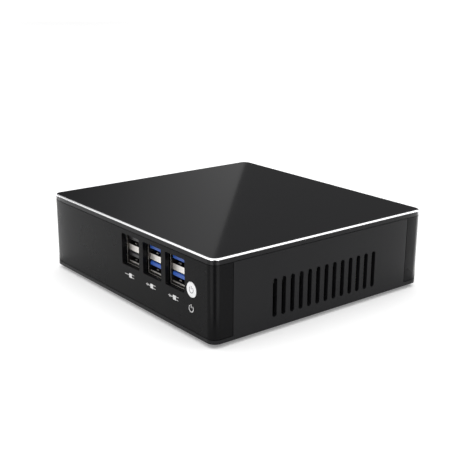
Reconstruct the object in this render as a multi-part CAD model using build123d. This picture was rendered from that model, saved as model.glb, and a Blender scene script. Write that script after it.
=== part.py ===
from build123d import *
import math
import os

# Mini PC, millimetres. X runs along the front, Y from front to back, Z up from the desk.
# The origin is the centre of the rectangle that the case covers, at the level of the feet.

# --- Case -----------------------------------------------------------------------------
WIDTH = 134.0
DEPTH = 126.0
CASE_HEIGHT = 37.0
FOOT_HEIGHT = 2.0
FOOT_RADIUS = 5.0
FOOT_INSET = 12.5
CORNER_RADIUS = 4.0
WALL = 2.0
FLOOR = 1.75
BEZEL_WRAP = 10.5
SEAM = 0.3
LID_DEPTH = 3.0
LID_PANEL = 1.8
TRIM_CHAMFER = 0.45
TRIM_WIDTH = 0.7
TRIM_HEIGHT = 0.65
PLATE_THICKNESS = 0.6
PLATE_PROUD = 0.05
PLATE_EDGE_RADIUS = 0.15
FIT_GAP = 0.05

# --- Case screws and feet -------------------------------------------------------------
SCREW_INSET = 5.8
SCREW_RADIUS = 1.5
SCREW_HOLE = 1.7
SCREW_HEAD = 2.9
POST_RADIUS = 3.4
POST_WEB = 4.08
LID_BOSS_LENGTH = 8.0
VESA_PITCH = 75.0
VESA_HOLE = 2.0
VESA_NUT_RADIUS = 4.0
VESA_NUT_HEIGHT = 3.5
FOOT_EDGE_RADIUS = 0.6

# --- Side vents and floor grille ------------------------------------------------------
VENT_COUNT = 13
VENT_PITCH = 5.02
VENT_WIDTH = 2.4
VENT_LENGTH = 17.45
VENT_BOTTOM = 4.75
GRILLE_HOLE = 1.6
GRILLE_RING_STEP = 5.5
GRILLE_RINGS = 4

# --- Front: three stacked ports and a button, counted from the right-hand side --------
BUTTON_FROM_RIGHT = 15.0
BUTTON_HEIGHT = 20.1
BUTTON_RADIUS = 3.5
BUTTON_GAP = 0.15
BUTTON_TRAVEL = 0.6
BUTTON_FLANGE = 0.8
FLANGE_LIP = 0.5
BUTTON_RECESS = 0.1
BUTTON_EDGE_RADIUS = 0.35
SLEEVE_WALL = 0.8
SLEEVE_EXTRA = 0.6
SWITCH_SIZE = (6.4, 3.6, 6.4)
SWITCH_FROM_WALL = 5.5
SWITCH_WALL = 0.8
PLUNGER_RADIUS = 1.7
PLUNGER_REACH = 1.6
STACK_COUNT = 3
STACK_BAR = 3.2
STACK_SIDE_GAP = 0.55
STACK_SLEEVE_GAP = 0.3
STACK_HOLE_HEIGHT = 14.7
STACK_HOLE_RADIUS = 0.6
STACK_RECESS = 2.4

# --- One stacked connector ------------------------------------------------------------
SHELL_WIDTH = 13.1
SHELL_DEPTH = 17.4
SHEET = 0.3
PORT_HEIGHT = 4.9
PORT_DIVIDER = 2.8
PORT_SILL = 0.7
PORT_SILL_GAP = 0.35
DIVIDER_SETBACK = 1.1
SILL_DEPTH = 3.0
TONGUE_SIDE_GAP = 1.0
TONGUE_THICKNESS = 1.9
TONGUE_DROP = 0.6
TONGUE_SETBACK = 0.65
TONGUE_CHAMFER = 0.3
INSULATOR_BACK = 6.5
SPRING_WIDTH = 1.7
SPRING_RADIUS = 0.55
SPRING_SETBACK = 3.2
PAD_SIZE = (1.0, 4.4, 0.25)
PAD_PITCH = 2.3
PAD_SETBACK = 2.6
FAST_PAD_SIZE = (0.7, 1.3, 0.12)
FAST_PAD_PITCH = 2.0
FAST_PAD_SETBACK = 0.6

# --- Board and what stands on it ------------------------------------------------------
BOARD_HEIGHT = 15.3
BOARD_THICKNESS = 1.6
BOARD_SIDE_GAP = 8.0
BOARD_END_GAP = 1.5
STANDOFF_X = 52.0
STANDOFF_Y = 36.0
STANDOFF_RADIUS = 3.0
STANDOFF_THREAD = (1.3, 7.0)
BOARD_HOLE = 1.6
BOARD_CORNER = 1.5
BOARD_SCREW_HEAD = (2.6, 1.6)
BOARD_SCREW_REACH = 6.0
CONNECTOR_LIFT = 0.3
CHIP_FOOT = 0.25
CHIP_RIM = 0.6
CHIP_PLACES = [(0, 30, 9, 9, 1.2), (-14, 31, 6, 6, 1.2), (14, 31, 7, 7, 1.2), (26, 30, 6, 8, 1.6),
               (6, 13, 10, 10, 1.2), (-41, -45, 7, 7, 1.4)]
CHOKE_COUNT = 3
CHOKE_FIRST = (38.0, 39.0)
CHOKE_PITCH = 9.0
CHOKE_SIZE = (7.0, 7.0, 3.4)
CHOKE_CHAMFER = 0.5
CAN_COUNT = 4
CAN_FIRST = (-24.0, 38.0)
CAN_PITCH = 7.0
CAN_RADIUS = 2.6
CAN_HEIGHT = 5.2
CAN_EDGE_RADIUS = 0.4
CELL_X = -24.0
CELL_Y_FROM_FRONT = 14.5
CELL_RADIUS = 10.0
CELL_RIM = 1.0
CELL_BED = 0.8
CELL_THICKNESS = 2.8
CELL_STEP = (1.2, 0.4)
CELL_WALL_HEIGHT = 3.4
CELL_NOTCH = 3.0

# --- Modules that plug into the board -------------------------------------------------
MEMORY_Y = -9.0
MEMORY_SIZE = (67.6, 30.0, 1.0)
MEMORY_LIFT = 3.0
MEMORY_CHIP = (11.0, 13.0, 1.1)
MEMORY_CHIP_PITCH = 15.5
MEMORY_CHIP_COUNT = 4
MEMORY_SEAT = 2.0
SOCKET_SIZE = (73.0, 6.5, 5.2)
SOCKET_ARM = 24.0
MODULE_LIFT = 2.2
MODULE_THICKNESS = 0.8
MODULE_WIDTH = 22.0
MODULE_Y = 13.0
MODULE_SEAT = 0.5
EDGE_SOCKET_WIDTH = 6.0
EDGE_SOCKET_CAP = 1.2
EDGE_SOCKET_SIDE = 0.75
STORAGE_SOCKET_X = -46.0
STORAGE_LENGTH = 42.0
WIRELESS_SOCKET_X = 46.0
WIRELESS_LENGTH = 30.0
MODULE_NOTCH = 1.75
FIXING_RADIUS = 2.6
FIXING_STEM = (1.5, 1.0)
FIXING_HEAD = (2.7, 0.8)
FLASH_CHIP = (11.5, 16.0, 1.1)
FLASH_CHIP_FROM_SOCKET = (16.0, 29.0)
FLASH_CONTROLLER = (5.0, 8.0, 0.8)
FLASH_CONTROLLER_FROM_SOCKET = 6.5
WIRELESS_CAN = (15.0, 18.0, 1.2)
WIRELESS_CAN_FROM_SOCKET = 12.0
AERIAL_JACK = (1.0, 0.8)
AERIAL_JACK_FROM_SOCKET = 23.5
AERIAL_JACK_SPREAD = 8.0
AERIAL_SIZE = (34.0, 0.2, 6.0)
AERIAL_FROM_SEAM = 7.0
AERIAL_X = (-30.0, -38.5)
LEAD_RADIUS = 0.55
LEAD_BEND = 1.5
LEAD_GAP = 0.3

# --- Cooling, under the board ---------------------------------------------------------
CPU_SIZE = (27.0, 25.0, 1.0)
DIE_SIZE = (11.0, 10.0, 0.8)
FAN_SIZE = 50.0
FAN_THICKNESS = 7.0
FAN_LIFT = 0.9
FAN_HOLE_INSET = 5.0
FAN_HOLE = 1.35
FAN_HEAD_SINK = (2.4, 1.6)
FAN_CORNER = 3.0
FAN_ARM_WIDTH = 2.4
FAN_WALL = 1.3
FAN_HUB = 10.5
FAN_TIP_GAP = 0.5
FAN_BLADES = 9
FAN_PLATE = 1.5
BLADE_PITCH_ANGLE = 38.0
BLADE_THICKNESS = 0.9
HUB_EDGE_RADIUS = 0.8
SHAFT_RADIUS = 1.0
SHAFT_GAP = 0.05
SINK_LENGTH = 88.0
SINK_WIDTH = 62.0
SINK_BASE = 2.2
FIN_THICKNESS = 1.0
FIN_PITCH = 4.0
SINK_SCREW_X = 40.0
SINK_SCREW_Y = 22.0
SINK_POCKET_GAP = 0.5
SINK_POCKET_TOP = 1.2
SINK_PILLAR = 2.8
SINK_THREAD = 1.25
THREAD_END = 0.4
SINK_SCREW_HEAD = (2.4, 1.4)
FAN_SCREW_HEAD = (2.2, 1.2)
SINK_CHANNEL = (6.0, 5.0)
HEADER_SIZE = (9.0, 4.5, 5.0)
HEADER_FROM_SINK = 7.0
FAN_LEAD_RADIUS = 1.0
FAN_LEAD_BEND = 3.5
FAN_LEAD_LIFT = 2.2
IMPELLER_GAP = (0.35, 0.3)
BLADE_GAP = (0.1, 0.2)
BLADE_ROOT = 0.6
SHAFT_LIFT = 0.4

# --- Drive bay, under the lid ---------------------------------------------------------
DRIVE_LENGTH = 100.0
DRIVE_WIDTH = 69.85
DRIVE_THICKNESS = 7.0
DRIVE_LID_GAP = 1.2
BRACKET_SHEET = 1.0
BRACKET_FLANGE = 7.0
BRACKET_LENGTH = 70.0
RIBBON_WIDTH = 20.0
RIBBON_THICKNESS = 0.9
BRACKET_SIDE_GAP = 0.1
BRACKET_HOLE = 1.3
BRACKET_SCREW = (1.25, 2.3, 1.2)
BRACKET_SCREW_FROM_END = 6.0
BRACKET_WINDOW = 0.6
PLUG_DEPTH = 6.0
PLUG_SIDE = 1.0
DRIVE_PLUG = (0.6, 5.4)
BOARD_PLUG_HEIGHT = 5.0
RIBBON_LIFT = (3.0, 2.5)
DRIVE_CORNER = 2.0
DRIVE_CHAMFER = 0.4

# --- Back: connector faces sit just inside the wall's outer face ----------------------
REAR_RECESS = 0.4
REAR_GAP = 0.2
DC_FROM_RIGHT = 17.0
DC_SIZE = (9.0, 14.0, 11.0)
DC_BORE = 2.9
DC_PIN = 1.05
DC_DEPTH = 10.0
DC_AXIS_SHARE = 0.55
DC_PIN_SETBACK = 1.2
DC_PIN_ROUND = 0.5
REAR_LUG_INSET = (1.0, 0.5)
DISPLAY_FROM_RIGHT = (35.0, 55.0)
DISPLAY_SIZE = (15.0, 12.0, 5.6)
DISPLAY_CUT = 1.7
DISPLAY_SHEET = 0.4
DISPLAY_BACK = 2.5
DISPLAY_TONGUE = (12.0, 1.1)
DISPLAY_TONGUE_SETBACK = 1.6
DISPLAY_TONGUE_SHARE = 0.56
DISPLAY_TONGUE_CHAMFER = 0.25
LAN_FROM_RIGHT = 77.0
LAN_SIZE = (16.0, 21.0, 13.4)
LAN_MOUTH = (11.8, 11.0, 7.8)
LAN_SILL = 2.6
LAN_LATCH = (6.2, 1.6)
LAN_WIRES = 8
LAN_WIRE_PITCH = 1.02
LAN_WIRE = (0.4, 7.0, 0.5)
AUDIO_FROM_RIGHT = (97.0, 107.0)
AUDIO_SIZE = (7.0, 13.0, 6.6)
AUDIO_BORE = 1.8
AUDIO_DEPTH = 11.0

# --- Levels and faces that follow from the sizes above --------------------------------
CASE_BOTTOM = FOOT_HEIGHT
FLOOR_TOP = CASE_BOTTOM + FLOOR
CASE_TOP = CASE_BOTTOM + CASE_HEIGHT
LID_SEAM = CASE_TOP - LID_DEPTH
PLATE_BOTTOM = CASE_TOP - PLATE_THICKNESS
LID_CEILING = PLATE_BOTTOM - LID_PANEL
TRIM_TOP = CASE_TOP - PLATE_PROUD
TRIM_BOTTOM = TRIM_TOP - TRIM_HEIGHT
FRONT = -DEPTH / 2
BACK = DEPTH / 2
RIGHT = WIDTH / 2
SEAM_Y = DEPTH / 2 - BEZEL_WRAP
POST_X = WIDTH / 2 - SCREW_INSET
POST_Y = DEPTH / 2 - SCREW_INSET
POST_TOP = LID_SEAM - LID_BOSS_LENGTH
BOARD_LOW = CASE_BOTTOM + BOARD_HEIGHT
BOARD_TOP = BOARD_LOW + BOARD_THICKNESS
BOARD_WIDTH = WIDTH - 2 * (WALL + BOARD_SIDE_GAP)
BOARD_LENGTH = DEPTH - 2 * (WALL + BOARD_END_GAP)
BUTTON_X = RIGHT - BUTTON_FROM_RIGHT
BUTTON_Z = CASE_BOTTOM + BUTTON_HEIGHT
CAP_FACE = FRONT + BUTTON_RECESS
CAP_STOP = FRONT + WALL + BUTTON_GAP
CAP_FLANGE_END = CAP_STOP + BUTTON_FLANGE
FLANGE_RADIUS = BUTTON_RADIUS + FLANGE_LIP
SLEEVE_RADIUS = FLANGE_RADIUS + SLEEVE_WALL
SLEEVE_END = CAP_FLANGE_END + BUTTON_TRAVEL + SLEEVE_EXTRA
SWITCH_Y = FRONT + WALL + SWITCH_FROM_WALL
TONGUE_WIDTH = SHELL_WIDTH - 2 * TONGUE_SIDE_GAP
STACK_HOLE_WIDTH = SHELL_WIDTH + 2 * STACK_SIDE_GAP
STACK_PITCH = STACK_HOLE_WIDTH + STACK_BAR
STACK_FROM_RIGHT = BUTTON_FROM_RIGHT + SLEEVE_RADIUS + STACK_SLEEVE_GAP + SHELL_WIDTH / 2
STACK_X = [RIGHT - STACK_FROM_RIGHT - STACK_PITCH * i for i in range(STACK_COUNT)][::-1]
STACK_Y = FRONT + STACK_RECESS
STACK_LOW = BOARD_TOP + CONNECTOR_LIFT
SILL_LOW = STACK_LOW + SHEET + PORT_SILL_GAP
PORT_LOW = [SILL_LOW + PORT_SILL, SILL_LOW + PORT_SILL + PORT_HEIGHT + PORT_DIVIDER]
STACK_TOP = PORT_LOW[1] + PORT_HEIGHT + SHEET
STACK_HOLE_LOW = STACK_LOW
REAR_FACE = BACK - REAR_RECESS
DC_X = RIGHT - DC_FROM_RIGHT
DISPLAY_X = [RIGHT - d for d in DISPLAY_FROM_RIGHT]
LAN_X = RIGHT - LAN_FROM_RIGHT
AUDIO_X = [RIGHT - d for d in AUDIO_FROM_RIGHT]
DC_AXIS_Z = BOARD_TOP + CONNECTOR_LIFT + DC_SIZE[2] * DC_AXIS_SHARE
AUDIO_AXIS_Z = BOARD_TOP + CONNECTOR_LIFT + AUDIO_SIZE[2] / 2
CPU_LOW = BOARD_LOW - CPU_SIZE[2] - DIE_SIZE[2]
FAN_LOW = FLOOR_TOP + FAN_LIFT
FAN_TOP = FAN_LOW + FAN_THICKNESS
FAN_BORE = FAN_SIZE / 2 - FAN_WALL
FAN_HOLE_PITCH = FAN_SIZE - 2 * FAN_HOLE_INSET
HEADER_Y = -(SINK_WIDTH / 2 + HEADER_FROM_SINK)
HEADER_LOW = BOARD_LOW - HEADER_SIZE[2]
DRIVE_TOP = LID_CEILING - DRIVE_LID_GAP
DRIVE_LOW = DRIVE_TOP - DRIVE_THICKNESS
CELL_Y = FRONT + CELL_Y_FROM_FRONT
MODULE_LOW = BOARD_TOP + MODULE_LIFT
MODULE_TOP = MODULE_LOW + MODULE_THICKNESS
AERIAL_JACK_X = WIRELESS_SOCKET_X - AERIAL_JACK_FROM_SOCKET
AERIAL_JACK_Y = (MODULE_Y - AERIAL_JACK_SPREAD, MODULE_Y + AERIAL_JACK_SPREAD)
AERIAL_Z = LID_SEAM - AERIAL_FROM_SEAM
LEAD_LEVEL = DRIVE_LOW - BRACKET_SHEET - LEAD_RADIUS - LEAD_GAP


# --- Shapes used throughout -----------------------------------------------------------

def block(x0, x1, y0, y1, z0, z1):
    """A box between two corners."""
    middle = Pos((x0 + x1) / 2, (y0 + y1) / 2, (z0 + z1) / 2)
    return middle * Box(abs(x1 - x0), abs(y1 - y0), abs(z1 - z0))


def slab(x, y, z0, width, depth, height):
    """A box centred on x and y that stands on z0."""
    return block(x - width / 2, x + width / 2, y - depth / 2, y + depth / 2, z0, z0 + height)


def round_slab(width, depth, radius, z0, z1):
    """A plate centred on the origin with rounded upright corners."""
    return Pos(0, 0, z0) * extrude(RectangleRounded(width, depth, radius), z1 - z0)


def case_slab(inset, z0, z1):
    """The case outline, drawn in by an inset."""
    radius = max(CORNER_RADIUS - inset, 0.5)
    return round_slab(WIDTH - 2 * inset, DEPTH - 2 * inset, radius, z0, z1)


def rod(x, y, radius, z0, z1):
    """An upright cylinder."""
    return Pos(x, y, (z0 + z1) / 2) * Cylinder(radius, z1 - z0)


def rod_along_y(x, z, radius, y0, y1):
    """A cylinder along Y."""
    return Pos(x, (y0 + y1) / 2, z) * Rot(90, 0, 0) * Cylinder(radius, y1 - y0)


def port_hole(x, z0, width, height, radius, y0, y1):
    """A rounded rectangular prism along Y, used for wall openings."""
    outline = RectangleRounded(width, height, radius)
    return Pos(x, y1, z0 + height / 2) * Rot(90, 0, 0) * extrude(outline, y1 - y0)


def four(x, y):
    """The four points of a rectangle centred on the origin."""
    return [(sx * x, sy * y) for sx in (-1, 1) for sy in (-1, 1)]


def group(solids):
    """Separate solids kept in one node."""
    return Compound([one for shape in solids for one in shape.solids()])


def flat_head_screw(x, y, radius, head_radius, z0, z1):
    """A countersunk screw whose flat head faces down at z0."""
    sink = head_radius - radius
    head = Pos(x, y, z0 + sink / 2) * Cone(head_radius, radius, sink)
    socket = rod(x, y, radius * 0.55, z0, z0 + sink * 0.7)
    return head + rod(x, y, radius, z0 + sink, z1) - socket


def pan_head_screw(x, y, radius, head_radius, head_height, z_head, z_tip):
    """A screw with its head seated at z_head, pointing to z_tip above or below it."""
    down = 1 if z_tip < z_head else -1
    outer = z_head + down * head_height
    head = rod(x, y, head_radius, min(z_head, outer), max(z_head, outer))
    recess_end = outer - down * head_height * 0.6
    recess = rod(x, y, radius * 0.7, min(outer, recess_end), max(outer, recess_end))
    return head + rod(x, y, radius, min(z_head, z_tip), max(z_head, z_tip)) - recess


# --- Case -----------------------------------------------------------------------------

def vent_slot(x, y):
    """One upright slot with round ends, cut across a side wall."""
    low = CASE_BOTTOM + VENT_BOTTOM + VENT_WIDTH / 2
    high = CASE_BOTTOM + VENT_BOTTOM + VENT_LENGTH - VENT_WIDTH / 2
    middle = block(x - WALL, x + WALL, y - VENT_WIDTH / 2, y + VENT_WIDTH / 2, low, high)
    for z in (low, high):
        middle += Pos(x, y, z) * Rot(0, 90, 0) * Cylinder(VENT_WIDTH / 2, 2 * WALL)
    return middle


def base_chassis():
    """Floor plate and two vented side walls, pressed from one sheet."""
    body = case_slab(0, CASE_BOTTOM, FLOOR_TOP)
    for side in (-1, 1):
        outer = side * RIGHT
        inner = side * (RIGHT - WALL)
        body += block(inner, outer, -SEAM_Y, SEAM_Y, FLOOR_TOP, LID_SEAM)
        lip = side * (RIGHT - 2 * WALL)
        for end in (-1, 1):
            near = end * (SEAM_Y - WALL)
            far = end * (SEAM_Y + WALL / 2)
            body += block(lip, inner, min(near, far), max(near, far), FLOOR_TOP, LID_SEAM - LID_DEPTH)
    slots = []
    for side in (-1, 1):
        for i in range(VENT_COUNT):
            y = (i - (VENT_COUNT - 1) / 2) * VENT_PITCH
            slots.append(vent_slot(side * (RIGHT - WALL / 2), y))
    body -= slots
    holes = []
    for x, y in four(POST_X, POST_Y):
        sink = SCREW_HEAD - SCREW_RADIUS
        holes.append(rod(x, y, SCREW_HOLE, CASE_BOTTOM - 1, FLOOR_TOP + 1))
        holes.append(Pos(x, y, CASE_BOTTOM + sink / 2) * Cone(SCREW_HEAD + FIT_GAP, SCREW_HOLE, sink))
    for x, y in four(VESA_PITCH / 2, VESA_PITCH / 2):
        holes.append(rod(x, y, VESA_HOLE, CASE_BOTTOM - 1, FLOOR_TOP + 1))
    holes.append(rod(0, 0, GRILLE_HOLE, CASE_BOTTOM - 1, FLOOR_TOP + 1))
    for ring in range(1, GRILLE_RINGS + 1):
        for i in range(6 * ring):
            turn = 2 * math.pi * i / (6 * ring)
            x = ring * GRILLE_RING_STEP * math.cos(turn)
            y = ring * GRILLE_RING_STEP * math.sin(turn)
            holes.append(rod(x, y, GRILLE_HOLE, CASE_BOTTOM - 1, FLOOR_TOP + 1))
    return body - holes


def corner_post(x, y, z0, z1):
    """A screw pillar webbed into the corner behind it."""
    side = math.copysign(1, x)
    end = math.copysign(1, y)
    web_x = block(x, side * (RIGHT - WALL), y - POST_WEB / 2, y + POST_WEB / 2, z0, z1)
    web_y = block(x - POST_WEB / 2, x + POST_WEB / 2, y, end * (BACK - WALL), z0, z1)
    return rod(x, y, POST_RADIUS, z0, z1) + web_x + web_y


def bezel(end):
    """A plastic end cap that wraps both corners; end is -1 for the front, 1 for the back."""
    wall = case_slab(0, FLOOR_TOP, LID_SEAM) - case_slab(WALL, FLOOR_TOP - 1, LID_SEAM + 1)
    far = end * (BACK + 1)
    near = end * SEAM_Y
    body = wall & block(-WIDTH, WIDTH, min(near, far), max(near, far), FLOOR_TOP, LID_SEAM)
    for side in (-1, 1):
        body += corner_post(side * POST_X, end * POST_Y, FLOOR_TOP, POST_TOP)
    for side in (-1, 1):
        body -= rod(side * POST_X, end * POST_Y, SCREW_HOLE, FLOOR_TOP - 1, POST_TOP + 1)
    seam = case_slab(-1, FLOOR_TOP - 1, FLOOR_TOP + SEAM)
    body -= seam - case_slab(SEAM, FLOOR_TOP - 2, FLOOR_TOP + 1)
    edge = end * (SEAM_Y + SEAM)
    for side in (-1, 1):
        groove = block(side * (RIGHT - SEAM), side * (RIGHT + 1), min(near, edge), max(near, edge),
                       FLOOR_TOP - 1, LID_SEAM + 1)
        body -= groove
    return body


def front_bezel():
    """Front end cap with one opening for each stacked port, and the button's hole."""
    body = bezel(-1)
    for x in STACK_X:
        body -= port_hole(x, STACK_HOLE_LOW, STACK_HOLE_WIDTH, STACK_HOLE_HEIGHT, STACK_HOLE_RADIUS,
                          FRONT - 1, FRONT + WALL + 1)
    body -= rod_along_y(BUTTON_X, BUTTON_Z, BUTTON_RADIUS + BUTTON_GAP, FRONT - 1, FRONT + WALL + 1)
    return body


def rear_bezel():
    """Back end cap, cut to the outline of each connector that shows through it."""
    body = bezel(1)
    gap = 2 * REAR_GAP
    cuts = [(DC_X, DC_SIZE), (LAN_X, LAN_SIZE)]
    cuts += [(x, DISPLAY_SIZE) for x in DISPLAY_X]
    cuts += [(x, AUDIO_SIZE) for x in AUDIO_X]
    for x, (width, _, height) in cuts:
        low = BOARD_TOP + CONNECTOR_LIFT - REAR_GAP
        body -= port_hole(x, low, width + gap, height + gap, STACK_HOLE_RADIUS,
                          BACK - WALL - 1, BACK + 1)
    return body


def lid_frame():
    """Lid panel with a short skirt, a raised bed for the gloss plate and four screw bosses."""
    body = case_slab(0, LID_SEAM, TRIM_BOTTOM)
    body += case_slab(TRIM_WIDTH + FIT_GAP, TRIM_BOTTOM, PLATE_BOTTOM)
    body -= case_slab(WALL, LID_SEAM - 1, LID_CEILING)
    seam = case_slab(-1, LID_SEAM - 1, LID_SEAM + SEAM)
    body -= seam - case_slab(SEAM, LID_SEAM - 2, LID_SEAM + 1)
    for x, y in four(POST_X, POST_Y):
        body += rod(x, y, POST_RADIUS, POST_TOP, LID_CEILING)
    for x, y in four(POST_X, POST_Y):
        body -= rod(x, y, SCREW_RADIUS, POST_TOP - 1, LID_SEAM - SEAM)
    return body


def trim_ring():
    """Bright frame round the lid, cut to a flat slope on its outer edge."""
    outer = case_slab(0, TRIM_BOTTOM, TRIM_TOP)
    outer = chamfer(outer.faces().sort_by(Axis.Z)[-1].edges(), TRIM_CHAMFER)
    return outer - case_slab(TRIM_WIDTH, TRIM_BOTTOM - 1, TRIM_TOP + 1)


def top_plate():
    """Flat gloss plate that drops into the trim ring."""
    plate = case_slab(TRIM_WIDTH + FIT_GAP, PLATE_BOTTOM, CASE_TOP)
    return fillet(plate.faces().sort_by(Axis.Z)[-1].edges(), PLATE_EDGE_RADIUS)


def rubber_feet():
    """Four stuck-on feet, softly rounded at the desk."""
    feet = []
    for x, y in four(RIGHT - FOOT_INSET, BACK - FOOT_INSET):
        foot = rod(x, y, FOOT_RADIUS, 0, CASE_BOTTOM)
        feet.append(fillet(foot.edges().group_by(Axis.Z)[0], FOOT_EDGE_RADIUS))
    return group(feet)


def case_screws():
    """Four long screws through the floor and the bezels' pillars into the lid."""
    tip = LID_SEAM - 2 * SEAM
    return group(flat_head_screw(x, y, SCREW_RADIUS, SCREW_HEAD, CASE_BOTTOM, tip)
                 for x, y in four(POST_X, POST_Y))


def vesa_nuts():
    """Threaded nuts pressed on the floor, for a plate behind a monitor."""
    nuts = []
    for x, y in four(VESA_PITCH / 2, VESA_PITCH / 2):
        nut = rod(x, y, VESA_NUT_RADIUS, FLOOR_TOP, FLOOR_TOP + VESA_NUT_HEIGHT)
        nuts.append(nut - rod(x, y, VESA_HOLE, FLOOR_TOP - 1, FLOOR_TOP + VESA_NUT_HEIGHT + 1))
    return group(nuts)


# --- Power button ---------------------------------------------------------------------

def power_button():
    """Round cap with a retaining flange behind the bezel and a stem to the switch."""
    cap = rod_along_y(BUTTON_X, BUTTON_Z, BUTTON_RADIUS, CAP_FACE, CAP_STOP)
    cap = fillet(cap.edges().group_by(Axis.Y)[0], BUTTON_EDGE_RADIUS)
    flange = rod_along_y(BUTTON_X, BUTTON_Z, FLANGE_RADIUS, CAP_STOP, CAP_FLANGE_END)
    stem = rod_along_y(BUTTON_X, BUTTON_Z, PLUNGER_RADIUS, CAP_FLANGE_END, SWITCH_Y - PLUNGER_REACH)
    return cap + flange + stem


def button_sleeve():
    """Plastic collar fixed behind the bezel, which guides the flange."""
    start = FRONT + WALL
    outer = rod_along_y(BUTTON_X, BUTTON_Z, SLEEVE_RADIUS, start, SLEEVE_END)
    bore = FLANGE_RADIUS + BUTTON_GAP
    return outer - rod_along_y(BUTTON_X, BUTTON_Z, bore, start - 1, SLEEVE_END + 1)


def switch_body():
    """Right-angle tactile switch that stands on the board behind the button."""
    width, depth, height = SWITCH_SIZE
    low = BUTTON_Z - height / 2
    left = BUTTON_X - width / 2
    body = block(left, left + width, SWITCH_Y, SWITCH_Y + depth, low, low + height)
    foot = block(left, left + width, SWITCH_Y + SWITCH_WALL, SWITCH_Y + depth + 2 * SWITCH_WALL,
                 BOARD_TOP, low + SWITCH_WALL)
    bore = PLUNGER_RADIUS + BUTTON_GAP
    well = rod_along_y(BUTTON_X, BUTTON_Z, bore, SWITCH_Y - 1, SWITCH_Y + depth - SWITCH_WALL)
    return body + foot - well


def switch_plunger():
    """The switch's own button, which travels with the cap."""
    depth = SWITCH_SIZE[1] - SWITCH_WALL - BUTTON_TRAVEL - BUTTON_GAP
    start = SWITCH_Y - PLUNGER_REACH
    return rod_along_y(BUTTON_X, BUTTON_Z, PLUNGER_RADIUS, start, SWITCH_Y + depth)


# --- Stacked connectors on the front edge ---------------------------------------------

def stack_shell(x):
    """Folded metal shell with two port mouths, a divider, a sill and spring fingers."""
    half = SHELL_WIDTH / 2
    inside = half - SHEET
    shell = block(x - half, x + half, STACK_Y, STACK_Y + SHELL_DEPTH, STACK_LOW, STACK_TOP)
    mouth_end = STACK_Y + SHELL_DEPTH - INSULATOR_BACK
    shell -= block(x - inside, x + inside, STACK_Y - 1, STACK_Y + DIVIDER_SETBACK,
                   STACK_LOW + SHEET, STACK_TOP - SHEET)
    for low in PORT_LOW:
        shell -= block(x - inside, x + inside, STACK_Y - 1, mouth_end, low, low + PORT_HEIGHT)
    shell -= block(x - inside, x + inside, STACK_Y - 1, STACK_Y + SILL_DEPTH,
                   STACK_LOW + SHEET, SILL_LOW)
    shell -= block(x - inside, x + inside, mouth_end, STACK_Y + SHELL_DEPTH - SHEET,
                   STACK_LOW + SHEET, STACK_TOP - SHEET)
    for low in PORT_LOW:
        for side in (-1, 1):
            centre = x + side * inside * 0.5
            place = Pos(centre, STACK_Y + SPRING_SETBACK, low) * Rot(0, 90, 0)
            finger = place * Cylinder(SPRING_RADIUS, SPRING_WIDTH)
            shell += finger & block(x - inside, x + inside, STACK_Y, mouth_end, low - SHEET, low + 1)
    return shell


def stack_insulator(x):
    """Moulded block behind the mouths with one contact tongue in each."""
    half = SHELL_WIDTH / 2 - SHEET
    back = STACK_Y + SHELL_DEPTH - SHEET
    front = STACK_Y + SHELL_DEPTH - INSULATOR_BACK
    body = block(x - half, x + half, front, back, STACK_LOW + SHEET, STACK_TOP - SHEET)
    for low in PORT_LOW:
        top = low + PORT_HEIGHT - TONGUE_DROP
        tongue = block(x - TONGUE_WIDTH / 2, x + TONGUE_WIDTH / 2, STACK_Y + TONGUE_SETBACK, front,
                       top - TONGUE_THICKNESS, top)
        body += chamfer(tongue.edges().filter_by(Axis.X).group_by(Axis.Y)[0], TONGUE_CHAMFER)
    return body


def pad_row(x, under, count, pitch, size, setback):
    """A row of flat contacts on the underside of a tongue."""
    width, length, thickness = size
    start = STACK_Y + TONGUE_SETBACK + setback
    row = []
    for i in range(count):
        centre = x + (i - (count - 1) / 2) * pitch
        row.append(block(centre - width / 2, centre + width / 2, start, start + length,
                         under - thickness, under))
    return row


def stack_contacts(x, pads, fast_pads):
    """Sprung contact strips under each tongue; a fast port has a second, shorter row."""
    strips = []
    for low in PORT_LOW:
        under = low + PORT_HEIGHT - TONGUE_DROP - TONGUE_THICKNESS
        strips += pad_row(x, under, pads, PAD_PITCH, PAD_SIZE, PAD_SETBACK)
        strips += pad_row(x, under, fast_pads, FAST_PAD_PITCH, FAST_PAD_SIZE, FAST_PAD_SETBACK)
    return group(strips)


# --- Board ----------------------------------------------------------------------------

def motherboard():
    """Square board with its fixing and heatsink holes, notched round the button's sleeve."""
    board = round_slab(BOARD_WIDTH, BOARD_LENGTH, BOARD_CORNER, BOARD_LOW, BOARD_TOP)
    notch = SLEEVE_RADIUS + 2 * BUTTON_GAP
    board -= block(BUTTON_X - notch, BUTTON_X + notch, FRONT, SLEEVE_END + 2 * BUTTON_GAP,
                   BOARD_LOW - 1, BOARD_TOP + 1)
    for x, y in four(STANDOFF_X, STANDOFF_Y):
        board -= rod(x, y, BOARD_HOLE, BOARD_LOW - 1, BOARD_TOP + 1)
    for x, y in four(SINK_SCREW_X, SINK_SCREW_Y):
        board -= rod(x, y, BOARD_HOLE, BOARD_LOW - 1, BOARD_TOP + 1)
    return board


def board_standoffs():
    """Pillars between the floor and the board, threaded at the top."""
    radius, length = STANDOFF_THREAD
    pillars = []
    for x, y in four(STANDOFF_X, STANDOFF_Y):
        pillar = rod(x, y, STANDOFF_RADIUS, FLOOR_TOP, BOARD_LOW)
        pillars.append(pillar - rod(x, y, radius, BOARD_LOW - length, BOARD_LOW + 1))
    return group(pillars)


def board_screws():
    """Screws that hold the board on its pillars."""
    radius = STANDOFF_THREAD[0]
    tip = BOARD_LOW - BOARD_SCREW_REACH
    return group(pan_head_screw(x, y, radius, *BOARD_SCREW_HEAD, BOARD_TOP, tip)
                 for x, y in four(STANDOFF_X, STANDOFF_Y))


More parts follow.
